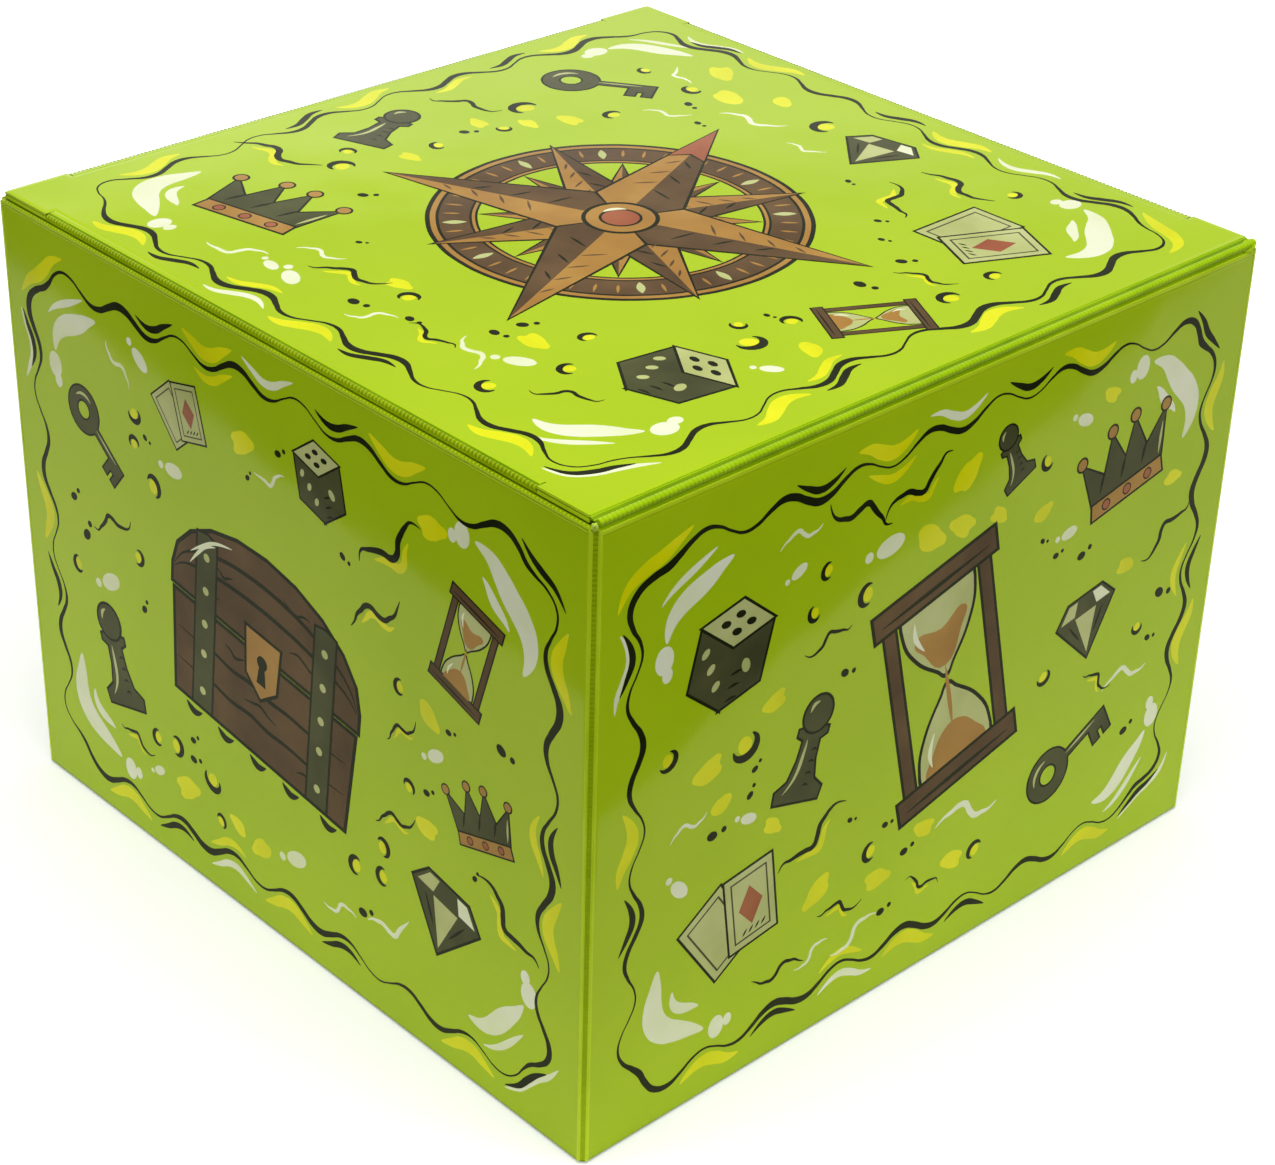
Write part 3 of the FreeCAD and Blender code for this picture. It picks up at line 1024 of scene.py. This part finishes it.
# %% Place frames, drawings and marks
layout = {
    "lid": [
        (compass_rose, 2, -3, 24, 0.92, 72), (old_key, -90, 60, 35, 0.9, 22),
        (two_cards, 78, 68, -15, 1.0, 22), (crown, -70, -76, 12, 0.9, 24),
        (game_die, 86, -62, -8, 0.95, 20), (cut_gem, 14, 92, 10, 0.85, 16),
        (pawn, -96, -12, 20, 0.85, 18), (hourglass, 96, 4, -28, 0.5, 17)],
    "front_wall": [
        (chest, -8, -4, -7, 0.98, 55), (hourglass, 82, 42, -18, 0.55, 22),
        (old_key, -92, 44, -40, 0.75, 22), (pawn, -84, -38, 15, 0.95, 20),
        (cut_gem, 72, -48, -12, 0.95, 18), (game_die, 22, 66, 10, 0.7, 15),
        (two_cards, -42, 62, 24, 0.65, 15), (crown, 88, -8, 16, 0.6, 16)],
    "right_wall": [
        (hourglass, 6, 2, 14, 1.3, 42), (game_die, -82, 44, -14, 0.95, 20),
        (crown, 78, 46, 12, 0.85, 22), (two_cards, -76, -42, 18, 1.0, 22),
        (old_key, 58, -54, 28, 0.9, 26), (pawn, -50, 2, -16, 0.9, 18),
        (cut_gem, 68, -4, 10, 0.85, 16), (pawn, 26, 66, 25, 0.6, 12)],
    "back_wall": [
        (crown, 0, -6, -6, 1.9, 48), (pawn, -86, 36, 10, 0.9, 20), (pawn, -70, -46, -14, 0.8, 18),
        (hourglass, 84, 38, 16, 0.6, 22), (cut_gem, 78, -44, 8, 0.9, 18),
        (old_key, -30, 60, 12, 0.7, 20)],
    "left_wall": [
        (game_die, -14, -6, 8, 1.8, 36), (game_die, 34, 18, -22, 1.2, 24),
        (two_cards, -84, 40, -18, 0.9, 20), (old_key, 70, -52, 30, 0.8, 22),
        (crown, 84, 46, 10, 0.7, 20), (cut_gem, -80, -44, -10, 0.9, 18)],
    "base": [],
}
first_seed, marks_wanted = 11, 64
key_tip, key_tip_room = Vector((26, -3, 0)), 11
for number, (panel, things) in enumerate(layout.items()):
    low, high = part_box(panel + "_film")
    short, long = sorted(((high - low) / mm)[:])[1:]
    half_x, half_y = (short / 2, long / 2) if panel in ("lid", "base") else (long / 2, short / 2)
    pen = panel, Matrix()
    frame_print(pen, half_x, half_y, 0.9 * number)
    taken = []
    corner_shine(pen, half_x, half_y, taken)
    for thing, x, y, turn, size, room in things:
        here = moved(pen, x, y, turn, size)
        thing(here)
        taken.append((x, y, room))
        if thing is old_key:
            taken.append((*(here[1] @ key_tip)[:2], key_tip_room * size))
    made = scatter(pen, half_x, half_y, taken, first_seed + number, marks_wanted)
    print(panel, "drawings:", len(things), "marks:", made)

# %% Turn the outlines into thin layers of ink
ways = {
    "lid": (X, Y, Z), "base": (X, -Y, -Z), "front_wall": (X, Z, -Y),
    "right_wall": (Y, Z, X), "back_wall": (-X, Z, Y), "left_wall": (-Y, Z, -X),
}
ink_step, ink_shift, ink_root = 0.012, 0.0004, 0.02


def ink_curve(name, loops, smooth, top):
    curve = bpy.data.curves.new(name, "CURVE")
    curve.dimensions = "2D"
    curve.fill_mode = "BOTH"
    curve.resolution_u = 5
    curve.extrude = (top + ink_root) / 2
    for loop in loops:
        spline = curve.splines.new("BEZIER" if smooth else "POLY")
        knots = spline.bezier_points if smooth else spline.points
        knots.add(len(loop) - 1)
        for knot, p in zip(knots, loop):
            knot.co = p if smooth else (*p, 1)
            if smooth:
                knot.handle_left_type = knot.handle_right_type = "AUTO"
        spline.use_cyclic_u = True
    return curve


for (panel, ink), shapes in drawn.items():
    across, up, outward = ways[panel]
    low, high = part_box(panel + "_film")
    face = Matrix((across, up, outward)).transposed().to_4x4()
    face.translation = (low + high) / 2 + outward * abs((high - low).dot(outward)) / 2
    layers = []
    for level, smooth, loops in shapes:
        top = ink_step * level + ink_shift * (len(layers) % 20)
        name = panel + "_" + ink
        layer = bpy.data.objects.new(name, ink_curve(name, loops, smooth, top))
        bpy.context.collection.objects.link(layer)
        lift = Matrix.Translation((0, 0, (top - ink_root) / 2))
        layer.matrix_world = face @ Matrix.Scale(mm, 4) @ lift
        layers.append(layer)
    pick(*layers)
    bpy.ops.object.convert(target="MESH")
    if len(layers) > 1:
        bpy.ops.object.join()
    sheet = bpy.context.object
    sheet.name = sheet.data.name = panel + "_print_" + ink
    bpy.ops.object.transform_apply()
    open_mesh(sheet)
    bpy.ops.mesh.remove_doubles(threshold=0.001 * mm)
    bpy.ops.mesh.normals_make_consistent()
    close_mesh()
    finish_piece(sheet, bodies[panel], "printed_film", ink_finish[ink])
    print(sheet.name, "shapes:", len(shapes), "faces:", len(sheet.data.polygons))

# %% [markdown]
# ## Paper, light and camera
# The box stands on a sheet of white paper on a dark table, under one wide soft lamp and two small
# ones. The paper ends a hand's width from the box on the right and in front, and the glossy walls
# show that edge as a slanting line between a deep and a paler green. To the camera alone the table
# and the room are as white as the paper. The room is dim to the box, but for a white backdrop that
# only the gloss sees, which pales the far part of the lid.

# %% Sheet of paper on a table
paper_white, table_grey = 0.78, 0.04
shadow_end, white_from, near_glow = 0.3, 0.85, 0.2
bpy.ops.mesh.primitive_plane_add()
paper_sheet = bpy.context.object
paper_sheet.name = "paper_sheet"
corners = {(1, -1): (0.182, -0.260), (1, 1): (0.576, 1.2)}
corners.update({(-1, 1): (-1.2, 1.2), (-1, -1): (-1.2, -0.413)})
for corner in paper_sheet.data.vertices:
    corner.co = (*corners[round(corner.co.x), round(corner.co.y)], 0)
paper_looks = {"Roughness": 0.9, "Emission Color": (1, 1, 1, 1)}
paper, paper_shader = new_material("white_paper", **paper_looks)
paper_ray = add_node(paper, "LightPath")
paper_tone = map_range(paper, 0, 1, paper_white, 1.0, name="paper_tone")
paper_place = add_node(paper, "TexCoord")
far_off = add_node(paper, "VectorMath", operation="LENGTH")
fade = map_range(paper, shadow_end, white_from, near_glow, 1.0)
fade.interpolation_type = "SMOOTHSTEP"
paper_lift = add_node(paper, "Math", operation="MULTIPLY")
wires(
    paper, (paper_ray, "Is Camera Ray", paper_tone, "Value"),
    (paper_tone, 0, paper_shader, "Base Color"), (paper_place, "Object", far_off, 0),
    (far_off, "Value", fade, "Value"), (fade, 0, paper_lift, 0),
    (paper_ray, "Is Camera Ray", paper_lift, 1),
    (paper_lift, 0, paper_shader, "Emission Strength"))
paper_sheet.data.materials.append(paper)
paper_sheet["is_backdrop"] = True
below = (0, 0, -0.05 * mm)
bpy.ops.mesh.primitive_circle_add(vertices=64, radius=0.9, fill_type="NGON", location=below)
table_top = bpy.context.object
table_top.name = "table_top"
dark_table = paper.copy()
dark_table.name = "dark_table"
dark_table.node_tree.nodes["paper_tone"].inputs["To Min"].default_value = table_grey
table_top.data.materials.append(dark_table)
table_top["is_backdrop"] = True
print("paper corners:", sorted(corners.values()))

# %% Lamps
aim = Vector((0, 0, 0.1))


def soft_lamp(name, place, size, watts):
    bpy.ops.object.light_add(type="AREA", location=place)
    lamp = bpy.context.object
    lamp.name = name
    lamp.data.shape = "DISK"
    lamp.data.size = size
    lamp.data.energy = watts
    lamp.rotation_euler = (aim - Vector(place)).to_track_quat("-Z", "Y").to_euler()
    return lamp


lamps = [
    soft_lamp("overhead", (0.25, -0.25, 1.6), 1.8, 20),
    soft_lamp("left_fill", (-0.6, -1.5, 0.75), 0.8, 3.5),
    soft_lamp("right_fill", (1.5, 0.6, 0.75), 0.8, 5.0),
]
print([(lamp.name, lamp.data.energy) for lamp in lamps])

# %% World: white to the camera, dim to the box
world = bpy.data.worlds.new("studio")
bpy.context.scene.world = world
world.use_nodes = True
sky = world.node_tree.nodes["Background"]
sky.inputs["Color"].default_value = (1, 1, 1, 1)
direction = add_node(world, "TexCoord")
parts = add_node(world, "SeparateXYZ")
glow = map_range(world, -0.05, 0.25, 0.03, 0.38)
seen = add_node(world, "LightPath")
either = add_node(world, "Math", operation="MAXIMUM")
wires(
    world, (direction, "Generated", parts, "Vector"), (parts, "Z", glow, "Value"),
    (seen, "Is Camera Ray", either, 1), (either, 0, sky, "Strength"))
print("world", world.name)

# %% White backdrop in the gloss of the lid
backdrop_heights, backdrop_whites = (0.0, 0.06, 0.37, 0.41), (0, 1, 1, 0)
to_the_right = (0.692, 0.722, 0)
band = add_node(world, "ValToRGB")
stops = band.color_ramp.elements
for height in backdrop_heights[1:3]:
    stops.new(height)
for stop, height, white in zip(stops, backdrop_heights, backdrop_whites):
    stop.position = height
    stop.color = (white, white, white, 1)
aside = add_node(world, "VectorMath", operation="DOT_PRODUCT")
aside.inputs[1].default_value = to_the_right
slant = map_range(world, -0.16, 0.16, 1.25, 0.7)
backdrop = add_node(world, "Math", operation="MULTIPLY")
mirrored = add_node(world, "Math", operation="MULTIPLY")
brighter = add_node(world, "Math", operation="MAXIMUM")
wires(
    world, (parts, "Z", band, "Fac"), (direction, "Generated", aside, 0),
    (aside, "Value", slant, "Value"), (band, "Color", backdrop, 0), (slant, 0, backdrop, 1),
    (backdrop, 0, mirrored, 0), (seen, "Is Glossy Ray", mirrored, 1), (mirrored, 0, brighter, 0),
    (glow, 0, brighter, 1), (brighter, 0, either, 0))
print("backdrop stops:", [round(stop.position, 2) for stop in stops])

# %% Camera at the photograph's angle
turn, lift, roll = radians(46.18), radians(30.458), radians(1.719)
photo_width, focal_pixels = 1275, 2913.886
offset = [v * mm for v in (8.45, 65.353, 948.356)]
pose = Matrix.Rotation(turn, 4, "Z") @ Matrix.Rotation(pi / 2 - lift, 4, "X")
pose = pose @ Matrix.Rotation(roll, 4, "Z")
eye = bpy.data.cameras.new("photo_view")
eye.lens = focal_pixels / photo_width * eye.sensor_width
camera = bpy.data.objects.new("photo_view", eye)
bpy.context.collection.objects.link(camera)
camera.matrix_world = pose @ Matrix.Translation(offset)
bpy.context.scene.camera = camera
bpy.context.scene.view_settings.view_transform = "Standard"
print("camera at", [round(v, 3) for v in camera.matrix_world.translation])

# %% [markdown]
# ## Sizes at the end
# The sizes of the CAD model and of the dressed box are both printed. The dressed box
# has to stay the size of the CAD model.

# %% Write the two boxes and finish
low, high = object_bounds()
print("visual box in mm:", [round((b - a) / mm, 2) for a, b in zip(low, high)])
